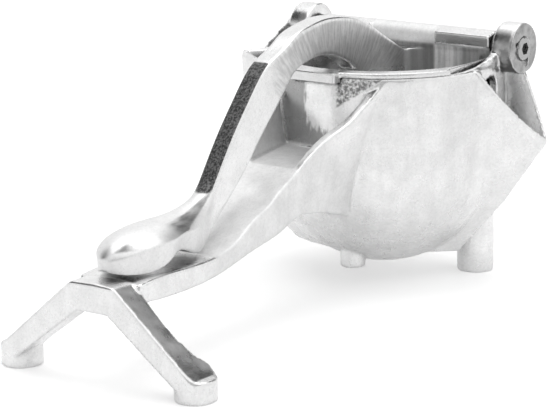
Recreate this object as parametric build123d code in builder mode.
"""Lever citrus press in cast aluminium, standing on its feet.

X runs along the handle (front foot at -X, cup at +X), the open spout is on the -Y side, Z is up.
The origin is on the ground, at the middle of the press.
"""
from build123d import *
import os
from math import cos, sin, radians, sqrt

os.makedirs("parts", exist_ok=True)

# Main sizes of the cup
cup_radius = 47.0
cup_wall = 3.5
rim_height = 86.4
cup_bottom = 6.0
overrun = 5.0
edge_round = 1.2

# Front foot and handle
front_reach = 173.9
foot_radius = 7.5
foot_spread = 38.4
foot_height = 8.0
leg_depth = 11.0
leg_waist = 10.0
crest_height = 36.4
crest_thickness = 10.6
crest_half = 10.2
handle_half = 13.5
rib_wall = 3.2
floor_drop = 27.6
flare_half = 26.8
pocket_half = 16.4

# Feet under the cup
rear_foot_radius = 7.3
rear_foot_x = 22.6
rear_foot_y = 28.6
rear_foot_top = 26.0
boss_radius = 4.9
boss_x = 22.3
boss_bottom = 7.0

# Hinge
hinge_x = 19.1
hinge_rise = 5.2
lug_gap = 3.2
lug_thickness = 8.9
lug_radius = 10.0
pin_radius = 3.0
bush_wall = 1.5
bush_length = 12.0
barrel_radius = 6.0
barrel_front = 6.5
barrel_face = 4.5
barrel_inner = 15.4
barrel_half = 40.0
head_radius = 4.5
head_depth = 5.2
socket_radius = 2.5
socket_depth = 3.4
nut_radius = 5.4
nut_thickness = 4.0
nut_washer_radius = 5.6
nut_washer_thickness = 1.0
hinge_washer_radius = 5.4

# Spouts
spout_reach = 66.0
lip_reach = 65.6
spout_tip_x = 14.6
spout_tip_drop = 28.9
spout_wall = 2.4
lip_nose_x = 5.0
lip_nose_drop = 2.3
pour_hole_radius = 6.0
pour_hole_drop = 9.9
pour_hole_x = 3.0
wing_rise = 6.8

# Strainer
strainer_wall = 2.0
strainer_depth = 50.4
strainer_taper = 28.0
flange_thickness = 2.0
tab_half = 10.2
tab_length = 3.6
tab_depth = 4.0
drain_radius = 2.4
drain_pitch = 9.0
bottom_drains = 6
wall_drains = 12

# Lever
lever_half = 4.2
arm_edge = 1.4
plate_half = 35.4
plate_foot = 14.5
plate_front = 5.5
plate_thickness = 4.6
plate_shoulder = 2.8
web_drop = 20.4
web_fillet = 7.0
grip_half = 12.4

# Press head
head_x = 5.0
dome_radius = 26.0
dome_depth = 16.0
dome_rim = 4.0
dome_wall = 3.5
boss_head_radius = 8.0
screw_radius = 3.0
screw_head_radius = 5.5
screw_head_thickness = 3.4
thread_depth = 9.0
screw_washer_radius = 6.4
screw_washer_thickness = 1.2
screw_seat = 5.2

# Clearances
running_clearance = 0.08
seat_clearance = 0.3
swing_clearance = 0.8

# The cup's axis stands off the origin so that the whole press is centred on it
cup_x = (front_reach + foot_radius - cup_radius) / 2
pin_x = cup_x + hinge_x
hinge_z = rim_height + hinge_rise
lug_inner = barrel_half + lug_gap
floor_height = rim_height - floor_drop
lip_nose_z = rim_height - lip_nose_drop
pour_hole_z = rim_height - pour_hole_drop
spout_tip_z = rim_height - spout_tip_drop
wing_height = rim_height + wing_rise
web_root_z = rim_height - web_drop
dome_edge_z = web_root_z - dome_rim
dome_bottom_z = dome_edge_z - dome_depth
strainer_bottom = rim_height - strainer_depth
strainer_straight = strainer_bottom + strainer_taper
lug_outer = lug_inner + lug_thickness
cup_inner = cup_radius - cup_wall
ball_z = cup_bottom + cup_radius
strainer_outer = cup_inner - swing_clearance
strainer_inner = strainer_outer - strainer_wall
bush_radius = pin_radius + bush_wall
swing_radius = sqrt(barrel_front**2 + barrel_face**2) + swing_clearance

# Outlines as shares of the handle's reach (X, from the cup's axis) and of the rim's height (Z)
handle_top_shares = [(-0.984, 0.408), (-0.872, 0.4155), (-0.746, 0.411), (-0.699, 0.4225), (-0.65, 0.4583),
                     (-0.595, 0.5174), (-0.55, 0.5486), (-0.507, 0.5995), (-0.472, 0.6331), (-0.44, 0.664)]
rib_top_shares = [(-0.44, 0.664), (-0.402, 0.728), (-0.356, 0.786), (-0.309, 0.8275), (-0.276, 0.877),
                  (-0.2477, 0.9315), (-0.223, 0.992)]
handle_under_shares = [(-0.984, 0.332), (-0.841, 0.318), (-0.727, 0.333), (-0.602, 0.384), (-0.495, 0.428),
                       (-0.446, 0.46), (-0.409, 0.458), (-0.376, 0.449), (-0.33, 0.428), (-0.23, 0.37)]
under_hollow_shares = [(-0.58, 0.3), (-0.54, 0.47), (-0.45, 0.61), (-0.25, 0.625), (-0.25, 0.3)]
lever_top_shares = [(-0.71, 0.575), (-0.686, 0.623), (-0.649, 0.719), (-0.594, 0.865), (-0.5365, 0.995),
                    (-0.466, 1.122), (-0.408, 1.171), (-0.3767, 1.207), (-0.321, 1.237), (-0.262, 1.252),
                    (-0.203, 1.2465), (-0.168, 1.235), (-0.109, 1.198), (-0.063, 1.154), (-0.017, 1.102),
                    (0.03, 1.06)]
dip_shares = [(-0.03, 1.118), (0.015, 1.063), (0.04, 1.036), (0.08, 1.026), (0.08, 1.2), (-0.03, 1.2)]
lever_under_shares = [(-0.146, 0.995), (-0.1617, 1.0185), (-0.193, 1.05), (-0.2215, 1.073), (-0.2577, 1.089),
                      (-0.2997, 1.0903), (-0.333, 1.081), (-0.367, 1.06), (-0.404, 1.001), (-0.446, 0.913),
                      (-0.5027, 0.8056), (-0.54, 0.728), (-0.612, 0.597), (-0.6486, 0.536), (-0.675, 0.493),
                      (-0.704, 0.458)]

# The grip, as shares of the handle's reach, of its half width and of the rim's height:
# place, half width, lower edge, crease, crown
grip_shares = [(-1.0, 0.13, 0.45, 0.49, 0.5), (-0.991, 0.34, 0.441, 0.498, 0.522),
               (-0.966, 0.64, 0.43, 0.512, 0.555), (-0.92, 0.9, 0.427, 0.53, 0.579),
               (-0.874, 1.0, 0.449, 0.537, 0.59), (-0.845, 0.96, 0.475, 0.5405, 0.593),
               (-0.782, 0.76, 0.445, 0.538, 0.596), (-0.736, 0.58, 0.426, 0.544, 0.609),
               (-0.704, 0.44, 0.45, 0.58, 0.628), (-0.676, 0.36, 0.51, 0.635, 0.66),
               (-0.63, 0.31, 0.595, 0.71, 0.735)]

# Half width of the handle where it meets the cup: height as a share of the rim's, share of the flare
flare_shares = [(0, 0.33), (0.39, 0.4), (0.55, 0.575), (0.73, 0.77), (1, 1)]

# The rim's rise to the lugs, as shares of its reach before the cup's axis and of the whole rise
wing_shares = [(0.4, 0.1), (-0.1, 0.29), (-0.57, 0.58), (-1.0, 0.9)]

# The two spouts' ridges: height as a share of the spout's tip, reach as a share of its reach
open_ridge_shares = [(0.19, 0.47), (0.55, 0.72), (1.0, 1.0), (1.6, 1.38)]
lip_ridge_shares = [(0.086, 0.558), (0.1, 0.635), (0.14, 0.695), (0.24, 0.81), (0.345, 0.876), (0.45, 0.916),
                    (0.72, 0.965), (0.85, 0.99), (0.955, 1.0), (0.9734, 0.965)]

# The lip's far wall, from the nose up to the lug: place as a share of the hinge's, and share of the rise
lip_wall_shares = [(0.11, 0.02), (0.3, 0.61), (0.48, 1.18), (0.62, 1.64), (0.69, 1.85)]


def outline(shares):
    return [(cup_x + a * front_reach, b * rim_height) for a, b in shares]


def spout_plan(level, side, reach, near, far, tip_x, inset):
    """Plan of a spout at one height: a wedge from inside the cup's wall out to its ridge."""
    drop = max(ball_z - level, 0)
    share = sqrt(cup_radius**2 - drop**2) / cup_radius
    return [(cup_x + near[0] * share + inset, side * near[1] * share), (cup_x + near[0] * share / 2, 0),
            (cup_x + far[0] * share / 2, 0), (cup_x + far[0] * share - inset, side * far[1] * share),
            (cup_x + tip_x * share, side * reach)]


# The cup's outside and inside, as turned shapes
with BuildPart() as cup_outside:
    with BuildSketch(Plane.XZ):
        with BuildLine():
            Polyline((cup_x, cup_bottom), (cup_x, rim_height), (cup_x + cup_radius, rim_height),
                     (cup_x + cup_radius, ball_z))
            CenterArc((cup_x, ball_z), cup_radius, 270, 90)
        make_face()
    revolve(axis=Axis((cup_x, 0, 0), (0, 0, 1)))

with BuildPart() as cup_inside:
    with BuildSketch(Plane.XZ):
        with BuildLine():
            Polyline((cup_x, cup_bottom + cup_wall), (cup_x, rim_height + overrun),
                     (cup_x + cup_inner, rim_height + overrun), (cup_x + cup_inner, ball_z))
            CenterArc((cup_x, ball_z), cup_inner, 270, 90)
        make_face()
    revolve(axis=Axis((cup_x, 0, 0), (0, 0, 1)))

# The open spout on the -Y side, wide at the cup and narrow at its ridge
open_near = (-cup_radius * 0.3, cup_radius * 0.77)
open_far = (cup_radius * 0.66, cup_radius * 0.6)
with BuildPart() as open_spout:
    for level, reach in open_ridge_shares:
        with BuildSketch(Plane.XY.offset(level * spout_tip_z)):
            with BuildLine():
                Polyline(*spout_plan(level * spout_tip_z, -1, reach * spout_reach, open_near, open_far,
                                     spout_tip_x, 0), close=True)
            make_face()
    loft(ruled=True)
    with BuildSketch(Plane.YZ):
        with BuildLine():
            Polyline((-cup_radius, rim_height), (-spout_reach, spout_tip_z - edge_round),
                     (-spout_reach * 2, spout_tip_z - edge_round), (-spout_reach * 2, rim_height * 2),
                     (cup_radius, rim_height * 2), (cup_radius, rim_height), close=True)
        make_face()
    extrude(amount=cup_x + spout_reach * 2, both=True, mode=Mode.SUBTRACT)

with BuildPart() as open_hollow:
    for level, reach in open_ridge_shares:
        with BuildSketch(Plane.XY.offset(level * spout_tip_z + spout_wall)):
            with BuildLine():
                Polyline(*spout_plan(level * spout_tip_z, -1, reach * spout_reach - spout_wall * 0.4,
                                     open_near, open_far, spout_tip_x, spout_wall * 1.1), close=True)
            make_face()
    loft(ruled=True)
    with Locations((cup_x, 0, 0)):
        Cylinder(cup_radius, rim_height * 3, mode=Mode.SUBTRACT)

# The lip on the +Y side, fuller below and level with the rim
lip_near = (-cup_radius * 0.7, cup_radius * 0.64)
lip_far = (cup_radius * 0.5, cup_radius * 0.8)
with BuildPart() as lip_spout:
    for level, reach in lip_ridge_shares:
        with BuildSketch(Plane.XY.offset(level * rim_height)):
            with BuildLine():
                Polyline(*spout_plan(level * rim_height, 1, reach * lip_reach, lip_near, lip_far,
                                     -lip_nose_x, 0), close=True)
            make_face()
    loft(ruled=True)

with BuildPart() as lip_hollow:
    for level, reach in lip_ridge_shares[2:]:
        with BuildSketch(Plane.XY.offset(level * rim_height + spout_wall)):
            with BuildLine():
                Polyline(*spout_plan(level * rim_height, 1, reach * lip_reach - spout_wall * 1.5,
                                     lip_near, lip_far, -lip_nose_x, spout_wall), close=True)
            make_face()
    loft(ruled=True)
    with Locations((cup_x, 0, 0)):
        Cylinder(cup_radius, rim_height * 3, mode=Mode.SUBTRACT)

# The far wall of the lip climbs from its nose to the lug
with BuildPart() as lip_wing:
    with BuildSketch(Plane.XY.offset(lip_nose_z - lug_radius)):
        with BuildLine():
            Polyline((cup_x - lip_nose_x, lip_reach), (cup_x - lip_nose_x, lip_reach - spout_wall * 1.5),
                     (pin_x - lug_radius * 0.6, lug_inner + edge_round),
                     (pin_x + lug_radius * 0.4, lug_inner),
                     (pin_x + lug_radius * 0.4, lug_outer), (pin_x - lug_radius * 0.6, lug_outer),
                     close=True)
        make_face()
    extrude(amount=hinge_z - lip_nose_z + lug_radius * 2)
    with BuildSketch(Plane.XZ):
        with BuildLine():
            Polyline((cup_x - lip_nose_x * 3, lip_nose_z),
                     *[(cup_x + a * hinge_x, lip_nose_z + b * (hinge_z - lip_nose_z))
                       for a, b in lip_wall_shares],
                     (pin_x + lug_radius, hinge_z + lug_radius * 0.65),
                     (pin_x + lug_radius, rim_height * 2),
                     (cup_x - lip_nose_x * 3, rim_height * 2), close=True)
        make_face()
    extrude(amount=spout_reach * 2, both=True, mode=Mode.SUBTRACT)

# The rising rim that carries each lug
wing_near = -cup_radius * 0.3
with BuildPart() as wings:
    for side in (-1, 1):
        with BuildSketch(Plane.XY.offset(rim_height - lug_radius)):
            with BuildLine():
                Polyline((cup_x + wing_near, side * (lug_inner - cup_wall / 2)),
                         (cup_x + wing_near, side * (cup_radius - cup_wall * 0.8)),
                         (pin_x, side * (lug_inner + cup_wall * 1.3)),
                         (pin_x + lug_radius, side * (lug_inner + cup_wall)),
                         (pin_x + lug_radius, side * (lug_inner - cup_wall)),
                         (pin_x, side * (lug_inner - cup_wall / 4)), close=True)
            make_face()
        extrude(amount=wing_height - rim_height + lug_radius)
    with BuildSketch(Plane.XZ):
        with BuildLine():
            Spline((cup_x + wing_near - overrun, rim_height),
                   *[(cup_x + a * wing_near, rim_height + b * wing_rise) for a, b in wing_shares],
                   (pin_x, wing_height), tangents=[(1, 0), (1, 0)])
            Polyline((pin_x, wing_height), (pin_x + lug_radius * 2, wing_height),
                     (pin_x + lug_radius * 2, rim_height * 2), (cup_x + wing_near - overrun, rim_height * 2),
                     (cup_x + wing_near - overrun, rim_height))
        make_face()
    extrude(amount=spout_reach, both=True, mode=Mode.SUBTRACT)

# The handle: a channel that bows up from the front foot and flares into the cup
flare_start, floor_start = outline(rib_top_shares)[0]
flare_end = cup_x - cup_radius * 0.8
with BuildPart() as handle_plan:
    with BuildSketch(Plane.YZ.offset(cup_x - front_reach)):
        with Locations((0, rim_height / 2)):
            Rectangle(handle_half * 2, rim_height)
    extrude(amount=flare_start - cup_x + front_reach)
    with BuildSketch(Plane.YZ.offset(flare_start)):
        with BuildLine():
            Polyline(*[(-handle_half, a * rim_height) for a, b in flare_shares],
                     *[(handle_half, a * rim_height) for a, b in reversed(flare_shares)], close=True)
        make_face()
    with BuildSketch(Plane.YZ.offset(flare_end)):
        with BuildLine():
            Polyline(*[(-b * flare_half, a * rim_height) for a, b in flare_shares],
                     *[(b * flare_half, a * rim_height) for a, b in reversed(flare_shares)], close=True)
        make_face()
    loft(ruled=True)

with BuildPart() as handle:
    with BuildSketch(Plane.XZ):
        with BuildLine():
            Spline(*outline(handle_top_shares))
            Spline(*outline(rib_top_shares))
            Line(outline(rib_top_shares)[-1], outline(handle_under_shares)[-1])
            Spline(*outline(handle_under_shares))
            Line(outline(handle_under_shares)[0], outline(handle_top_shares)[0])
        make_face()
    extrude(amount=flare_half, both=True)
    add(handle_plan.part, mode=Mode.INTERSECT)

# The pocket between the two ribs, down to the floor, and the hollow under the floor
with BuildPart() as pocket:
    with BuildSketch(Plane.YZ.offset(flare_start)):
        with Locations((0, floor_start + rim_height / 2)):
            Rectangle((handle_half - rib_wall) * 2, rim_height)
    with BuildSketch(Plane.YZ.offset(flare_end)):
        with BuildLine():
            Polyline((-pocket_half, floor_height), (-flare_half + rib_wall, rim_height),
                     (-flare_half + rib_wall, rim_height * 2), (flare_half - rib_wall, rim_height * 2),
                     (flare_half - rib_wall, rim_height), (pocket_half, floor_height), close=True)
        make_face()
    loft(ruled=True)
    with Locations((cup_x, 0, 0)):
        Cylinder(cup_radius, rim_height * 4, mode=Mode.SUBTRACT)

with BuildPart() as under_hollow:
    with BuildSketch(Plane.XZ):
        with BuildLine():
            Polyline(*outline(under_hollow_shares), close=True)
        make_face()
    extrude(amount=handle_half - rib_wall, both=True)
    with Locations((cup_x, 0, 0)):
        Cylinder(cup_radius, rim_height * 4, mode=Mode.SUBTRACT)

# The front foot: two legs in an inverted V
foot_x = cup_x - front_reach
leg_front = foot_x - foot_radius
with BuildPart() as leg_plan:
    with BuildSketch():
        with BuildLine():
            Polyline((leg_front, 0), (leg_front, foot_spread))
            ThreePointArc((leg_front, foot_spread), (foot_x, foot_spread + foot_radius),
                          (foot_x + foot_radius, foot_spread))
            Spline((foot_x + foot_radius, foot_spread), (leg_front + leg_depth, foot_spread * 0.83),
                   (leg_front + leg_waist, foot_spread * 0.6), (leg_front + leg_depth, crest_half),
                   tangents=[(-1, -1), (0, -1)])
            Polyline((leg_front + leg_depth, crest_half), (leg_front + leg_depth, 0), (leg_front, 0))
        make_face()
        mirror(about=Plane.XZ)
    extrude(amount=crest_height)

with BuildPart() as front_foot:
    with BuildSketch(Plane.YZ.offset(leg_front)):
        with BuildLine():
            Spline((0, crest_height), (crest_half * 0.6, crest_height - edge_round / 4),
                   (crest_half, crest_height - edge_round), tangents=[(1, 0), (1, -1)])
            Polyline((crest_half, crest_height - edge_round),
                     (foot_spread + foot_radius / 5, foot_height * 1.25),
                     (foot_spread + foot_radius, foot_height * 0.7),
                     (foot_spread + foot_radius, foot_height / 5),
                     (foot_spread - foot_radius * 0.5, foot_height * 0.6),
                     (crest_half * 0.74, crest_height - crest_thickness * 1.06))
            Spline((crest_half * 0.74, crest_height - crest_thickness * 1.06),
                   (crest_half * 0.4, crest_height - crest_thickness), (0, crest_height - crest_thickness),
                   tangents=[(-1, 1), (-1, 0)])
            Line((0, crest_height - crest_thickness), (0, crest_height))
        make_face()
        mirror(about=Plane.YZ)
    extrude(amount=foot_radius * 2)
    add(leg_plan.part, mode=Mode.INTERSECT)
    for side in (-1, 1):
        with Locations((foot_x, side * foot_spread, foot_height / 2)):
            Cylinder(foot_radius, foot_height)

with BuildPart() as lugs:
    for start in (lug_inner, -lug_outer):
        with BuildSketch(Plane.XZ.offset(start)):
            with Locations((pin_x, hinge_z)):
                Circle(lug_radius)
        extrude(amount=lug_thickness)

with BuildPart() as base_casting:
    add(cup_outside.part)
    add(open_spout.part)
    add(lip_spout.part)
    add(handle.part)
    add(front_foot.part)
    add(wings.part)
    add(lugs.part)
    add(lip_wing.part)
    for side in (-1, 1):
        with Locations((cup_x + rear_foot_x, side * rear_foot_y, rear_foot_top / 2)):
            Cylinder(rear_foot_radius, rear_foot_top)
    with Locations((cup_x - boss_x, 0, (boss_bottom + cup_bottom + cup_radius / 2) / 2)):
        Cylinder(boss_radius, cup_bottom + cup_radius / 2 - boss_bottom)
    # Everything hollow is taken out after the solids are joined
    add(open_hollow.part, mode=Mode.SUBTRACT)
    add(lip_hollow.part, mode=Mode.SUBTRACT)
    add(cup_inside.part, mode=Mode.SUBTRACT)
    add(pocket.part, mode=Mode.SUBTRACT)
    add(under_hollow.part, mode=Mode.SUBTRACT)
    # Room for the lever's crossbar between the lugs, then the bores
    with BuildSketch(Plane.XZ):
        with Locations((pin_x, hinge_z)):
            Circle(swing_radius)
    extrude(amount=lug_inner, both=True, mode=Mode.SUBTRACT)
    with BuildSketch(Plane.XZ):
        with Locations((pin_x, hinge_z)):
            Circle(pin_radius + running_clearance)
    extrude(amount=lug_outer + overrun, both=True, mode=Mode.SUBTRACT)
    with BuildSketch(Plane.XZ.offset(lug_outer - head_depth)):
        with Locations((pin_x, hinge_z)):
            Circle(head_radius + running_clearance)
    extrude(amount=head_depth + overrun, mode=Mode.SUBTRACT)
    with BuildSketch(Plane.XZ.offset(-lug_outer - overrun)):
        with Locations((pin_x, hinge_z)):
            Circle(nut_washer_radius + seat_clearance)
    extrude(amount=nut_thickness + nut_washer_thickness + overrun, mode=Mode.SUBTRACT)
    # The hole through which the juice leaves the cup on each side
    with BuildSketch(Plane.XZ):
        with Locations((cup_x + pour_hole_x, pour_hole_z)):
            Circle(pour_hole_radius)
    extrude(amount=cup_radius + cup_wall, both=True, mode=Mode.SUBTRACT)
    # Seat of the strainer's tab in the rim
    with Locations((cup_x - cup_radius, 0, rim_height)):
        Box(cup_wall * 4, (tab_half + seat_clearance) * 2,
            (tab_depth - flange_thickness + seat_clearance) * 2, mode=Mode.SUBTRACT)
base_casting.part.label = "base_casting"
export_step(base_casting.part, "parts/base_casting.step")


# The strainer: a loose perforated bowl that hangs in the cup by its flange
with BuildPart() as strainer:
    with BuildSketch(Plane.XZ):
        with BuildLine():
            Polyline((cup_x, strainer_bottom), (cup_x + strainer_outer * 0.45, strainer_bottom))
            Line((cup_x + strainer_outer * 0.45, strainer_bottom),
                 (cup_x + strainer_outer * 0.8, strainer_bottom + strainer_outer * 0.13))
            Polyline((cup_x + strainer_outer * 0.8, strainer_bottom + strainer_outer * 0.13),
                     (cup_x + strainer_outer, strainer_straight), (cup_x + strainer_outer, rim_height),
                     (cup_x + cup_radius, rim_height), (cup_x + cup_radius, rim_height + flange_thickness),
                     (cup_x + strainer_inner, rim_height + flange_thickness),
                     (cup_x + strainer_inner, strainer_straight + edge_round),
                     (cup_x + strainer_outer * 0.8 - edge_round, strainer_bottom + strainer_outer * 0.13
                      + strainer_wall),
                     (cup_x + strainer_outer * 0.45 - edge_round / 2, strainer_bottom + strainer_wall),
                     (cup_x, strainer_bottom + strainer_wall), (cup_x, strainer_bottom))
        make_face()
    revolve(axis=Axis((cup_x, 0, 0), (0, 0, 1)))
    # The tab sits in the notch of the rim
    with Locations((cup_x - cup_radius + (cup_wall - tab_length + edge_round) / 2, 0,
                    rim_height + flange_thickness - tab_depth / 2)):
        Box(cup_wall + tab_length - edge_round, tab_half * 2, tab_depth)
    # Cut back beside the lugs and under the crossbar
    for side in (-1, 1):
        with Locations((pin_x + (wing_near - hinge_x + lug_radius) / 2,
                        side * (lug_inner - cup_wall / 2 + rim_height / 2), rim_height)):
            Box(hinge_x + lug_radius * 2 - wing_near, rim_height, cup_wall * 4, mode=Mode.SUBTRACT)
    with BuildSketch(Plane.XZ):
        with Locations((pin_x, hinge_z)):
            Circle(swing_radius)
    extrude(amount=lug_inner, both=True, mode=Mode.SUBTRACT)
    # Drain holes
    with Locations((cup_x, 0, strainer_bottom)):
        Cylinder(drain_radius, strainer_wall * 4, mode=Mode.SUBTRACT)
        with PolarLocations(drain_pitch, bottom_drains):
            Cylinder(drain_radius, strainer_wall * 4, mode=Mode.SUBTRACT)
    for drain in range(wall_drains):
        turn = radians(360 * (drain + 0.5) / wall_drains)
        with BuildSketch(Plane(origin=(cup_x, 0, strainer_straight - drain_pitch),
                               z_dir=(cos(turn), sin(turn), 0))):
            Circle(drain_radius)
        extrude(amount=cup_radius, mode=Mode.SUBTRACT)
strainer.part.label = "strainer"
export_step(strainer.part, "parts/strainer.step")

# The lever: grip, arm, arch and web, plate and crossbar in one casting
web_profile = outline(lever_top_shares)
under_profile = outline(lever_under_shares)
screw_top = web_root_z + thread_depth
plate_x = pin_x - plate_front
with BuildPart() as lever_casting:
    with BuildSketch(Plane.XZ):
        with BuildLine():
            Spline(*web_profile)
            Polyline(web_profile[-1], (plate_x + plate_thickness / 2, web_profile[-1][1]),
                     (plate_x + plate_thickness / 2, web_root_z),
                     (under_profile[0][0], web_root_z), under_profile[0])
            Spline(*under_profile)
            Line(under_profile[-1], web_profile[0])
        make_face()
    extrude(amount=lever_half, both=True)
    fillet(lever_casting.edges().filter_by(Plane.XZ).filter_by(
        lambda e: e.center().X < cup_x - cup_radius / 2), radius=arm_edge)
    # The web's top dips before it meets the plate
    with BuildSketch(Plane.XZ):
        with BuildLine():
            Spline(*outline(dip_shares)[:4])
            Polyline(*outline(dip_shares)[3:], outline(dip_shares)[0])
        make_face()
    extrude(amount=lever_half * 2, both=True, mode=Mode.SUBTRACT)
    # Plate across the cup's back, with a hollow fillet each side of the web
    with BuildSketch(Plane.YZ.offset(plate_x)):
        with BuildLine():
            Polyline((0, web_root_z), (plate_foot, web_root_z))
            ThreePointArc((plate_foot, web_root_z), (plate_half * 0.8, web_root_z + web_drop * 0.45),
                          (plate_half, rim_height))
            Polyline((plate_half, rim_height), (plate_half, hinge_z - plate_shoulder),
                     (barrel_half, hinge_z - plate_shoulder), (barrel_half, hinge_z), (0, hinge_z))
            mirror(about=Plane.YZ)
        make_face()
    extrude(amount=plate_thickness)
    for side in (-1, 1):
        with BuildSketch(Plane.XY.offset(web_root_z)):
            with BuildLine():
                Polyline((plate_x - web_fillet, side * lever_half),
                         (plate_x + plate_thickness / 2, side * lever_half),
                         (plate_x + plate_thickness / 2, side * (lever_half + web_fillet)),
                         (plate_x, side * (lever_half + web_fillet)))
                RadiusArc((plate_x, side * (lever_half + web_fillet)),
                          (plate_x - web_fillet, side * lever_half), side * web_fillet)
            make_face()
        extrude(amount=hinge_z - web_root_z - plate_shoulder)
    # Crossbar: a round bar with a flat band along its front
    with BuildSketch(Plane.XZ):
        with Locations((pin_x, hinge_z)):
            Circle(barrel_radius)
    extrude(amount=barrel_half, both=True)
    for side in (-1, 1):
        with BuildSketch(Plane.XZ.offset(side * barrel_inner)):
            with BuildLine():
                Polyline((pin_x - barrel_front, hinge_z), (pin_x - barrel_front, hinge_z + barrel_face),
                         (pin_x, hinge_z + barrel_radius), (pin_x, hinge_z), close=True)
            make_face()
        extrude(amount=side * (barrel_half - barrel_inner))
    # Boss over the press head
    with Locations((cup_x - head_x, 0, (web_root_z + screw_top + arm_edge * 2) / 2)):
        Cylinder(boss_head_radius, thread_depth + arm_edge * 2)
    # Grip: a crowned paddle with a crease along each side
    for at, wide, low, crease, crown in grip_shares:
        with BuildSketch(Plane.YZ.offset(cup_x + at * front_reach)):
            with BuildLine():
                ThreePointArc((-wide * grip_half, crease * rim_height), (0, crown * rim_height),
                              (wide * grip_half, crease * rim_height))
                Polyline((wide * grip_half, crease * rim_height), (wide * grip_half * 0.9, low * rim_height),
                         (-wide * grip_half * 0.9, low * rim_height),
                         (-wide * grip_half, crease * rim_height))
            make_face()
    loft()
    # Bores for the pin's bushes, and the screw's thread
    with BuildSketch(Plane.XZ):
        with Locations((pin_x, hinge_z)):
            Circle(pin_radius + swing_clearance)
    extrude(amount=barrel_half + overrun, both=True, mode=Mode.SUBTRACT)
    for start, way in ((barrel_half + overrun, -1), (-barrel_half - overrun, 1)):
        with BuildSketch(Plane.XZ.offset(start)):
            with Locations((pin_x, hinge_z)):
                Circle(bush_radius)
        extrude(amount=way * (bush_length + overrun), mode=Mode.SUBTRACT)
    with Locations((cup_x - head_x, 0, web_root_z)):
        Cylinder(screw_radius, thread_depth * 2, mode=Mode.SUBTRACT)
lever_casting.part.label = "lever_casting"
export_step(lever_casting.part, "parts/lever_casting.step")

# The press head: a dome under the web, with a boss for its screw
dome_ball = (dome_radius**2 + (dome_edge_z - dome_bottom_z)**2) / (2 * (dome_edge_z - dome_bottom_z))
dome_mid = dome_radius * 0.6
inner_radius = dome_radius - dome_wall
screw_seat_z = dome_bottom_z + screw_seat
head_at = cup_x - head_x


def dome_z(r, lift):
    """Height of the dome's surface at a distance from its axis."""
    return dome_bottom_z + lift + dome_ball - sqrt(dome_ball**2 - r**2)


with BuildPart() as press_head:
    with BuildSketch(Plane.XZ):
        with BuildLine():
            Line((head_at + screw_radius + running_clearance, web_root_z),
                 (head_at + screw_radius + running_clearance, screw_seat_z))
            Line((head_at + screw_radius + running_clearance, screw_seat_z),
                 (head_at + screw_washer_radius + seat_clearance, screw_seat_z))
            Line((head_at + screw_washer_radius + seat_clearance, screw_seat_z),
                 (head_at + screw_washer_radius + seat_clearance,
                  dome_z(screw_washer_radius + seat_clearance, 0)))
            ThreePointArc((head_at + screw_washer_radius + seat_clearance,
                           dome_z(screw_washer_radius + seat_clearance, 0)),
                          (head_at + dome_mid, dome_z(dome_mid, 0)), (head_at + dome_radius, dome_edge_z))
            Polyline((head_at + dome_radius, dome_edge_z), (head_at + dome_radius, dome_edge_z + dome_rim),
                     (head_at + inner_radius, dome_edge_z + dome_rim),
                     (head_at + inner_radius, dome_z(inner_radius, dome_wall)))
            ThreePointArc((head_at + inner_radius, dome_z(inner_radius, dome_wall)),
                          (head_at + dome_mid, dome_z(dome_mid, dome_wall)),
                          (head_at + boss_head_radius * 1.1, dome_z(boss_head_radius * 1.1, dome_wall)))
            Polyline((head_at + boss_head_radius * 1.1, dome_z(boss_head_radius * 1.1, dome_wall)),
                     (head_at + boss_head_radius, web_root_z),
                     (head_at + screw_radius + running_clearance, web_root_z))
        make_face()
    revolve(axis=Axis((head_at, 0, 0), (0, 0, 1)))
press_head.part.label = "press_head"
export_step(press_head.part, "parts/press_head.step")

with BuildPart() as press_head_washer:
    with Locations((head_at, 0, screw_seat_z - screw_washer_thickness / 2)):
        Cylinder(screw_washer_radius, screw_washer_thickness)
        Cylinder(screw_radius + running_clearance, screw_washer_thickness, mode=Mode.SUBTRACT)
press_head_washer.part.label = "press_head_washer"
export_step(press_head_washer.part, "parts/press_head_washer.step")

screw_face = screw_seat_z - screw_washer_thickness
with BuildPart() as press_head_screw:
    with BuildSketch(Plane.XY.offset(screw_face - screw_head_thickness)):
        with Locations((head_at, 0)):
            Circle(screw_head_radius)
    extrude(amount=screw_head_thickness)
    with BuildSketch(Plane.XY.offset(screw_face)):
        with Locations((head_at, 0)):
            Circle(screw_radius)
    extrude(amount=web_root_z + thread_depth - running_clearance - screw_face)
    with BuildSketch(Plane.XY.offset(screw_face - screw_head_thickness)):
        with Locations((head_at, 0)):
            RegularPolygon(socket_radius, 6)
    extrude(amount=screw_head_thickness * 0.6, mode=Mode.SUBTRACT)
    chamfer(press_head_screw.edges().group_by(Axis.Z)[0].filter_by(GeomType.CIRCLE), running_clearance * 5)
press_head_screw.part.label = "press_head_screw"
export_step(press_head_screw.part, "parts/press_head_screw.step")

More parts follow.
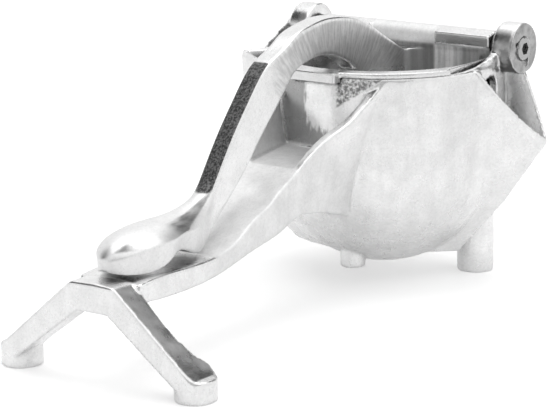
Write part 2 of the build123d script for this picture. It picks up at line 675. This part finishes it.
# Hinge pin: its socket head is sunk in the right lug, its nut in the left one
pin_tip = lug_outer - running_clearance
with BuildPart() as hinge_pin:
    with BuildSketch(Plane.XZ.offset(-pin_tip)):
        with Locations((pin_x, hinge_z)):
            Circle(pin_radius)
    extrude(amount=pin_tip + lug_outer - head_depth)
    with BuildSketch(Plane.XZ.offset(lug_outer - head_depth)):
        with Locations((pin_x, hinge_z)):
            Circle(head_radius)
    extrude(amount=head_depth + running_clearance * 5)
    chamfer(hinge_pin.edges().group_by(Axis.Y)[0], running_clearance * 5)
    with BuildSketch(Plane.XZ.offset(lug_outer + running_clearance * 5 - socket_depth)):
        with Locations((pin_x, hinge_z)):
            RegularPolygon(socket_radius, 6)
    extrude(amount=socket_depth, mode=Mode.SUBTRACT)
hinge_pin.part.label = "hinge_pin"
export_step(hinge_pin.part, "parts/hinge_pin.step")

nut_seat = lug_outer - nut_thickness - nut_washer_thickness
with BuildPart() as hinge_nut_washer:
    with BuildSketch(Plane.XZ.offset(-nut_seat - nut_washer_thickness)):
        with Locations((pin_x, hinge_z)):
            Circle(nut_washer_radius)
            Circle(pin_radius + running_clearance, mode=Mode.SUBTRACT)
    extrude(amount=nut_washer_thickness)
hinge_nut_washer.part.label = "hinge_nut_washer"
export_step(hinge_nut_washer.part, "parts/hinge_nut_washer.step")

with BuildPart() as hinge_nut:
    with BuildSketch(Plane.XZ.offset(-lug_outer)):
        with Locations((pin_x, hinge_z)):
            RegularPolygon(nut_radius, 6)
            Circle(pin_radius, mode=Mode.SUBTRACT)
    extrude(amount=nut_thickness)
hinge_nut.part.label = "hinge_nut"
export_step(hinge_nut.part, "parts/hinge_nut.step")

# Bushes pressed into the crossbar's ends, and washers between crossbar and lugs
side_names = ((1, "left"), (-1, "right"))
for side, side_name in side_names:
    near_end = barrel_half if side < 0 else -barrel_half + bush_length
    with BuildPart() as bush:
        with BuildSketch(Plane.XZ.offset(near_end)):
            with Locations((pin_x, hinge_z)):
                Circle(bush_radius)
                Circle(pin_radius + running_clearance / 2, mode=Mode.SUBTRACT)
        extrude(amount=-bush_length)
    bush.part.label = "crossbar_bush_" + side_name
    export_step(bush.part, "parts/crossbar_bush_" + side_name + ".step")
    washer_start = barrel_half + seat_clearance if side < 0 else -lug_inner
    with BuildPart() as side_washer:
        with BuildSketch(Plane.XZ.offset(washer_start)):
            with Locations((pin_x, hinge_z)):
                Circle(hinge_washer_radius)
                Circle(pin_radius + running_clearance, mode=Mode.SUBTRACT)
        extrude(amount=lug_inner - barrel_half - seat_clearance)
    side_washer.part.label = "hinge_washer_" + side_name
    export_step(side_washer.part, "parts/hinge_washer_" + side_name + ".step")
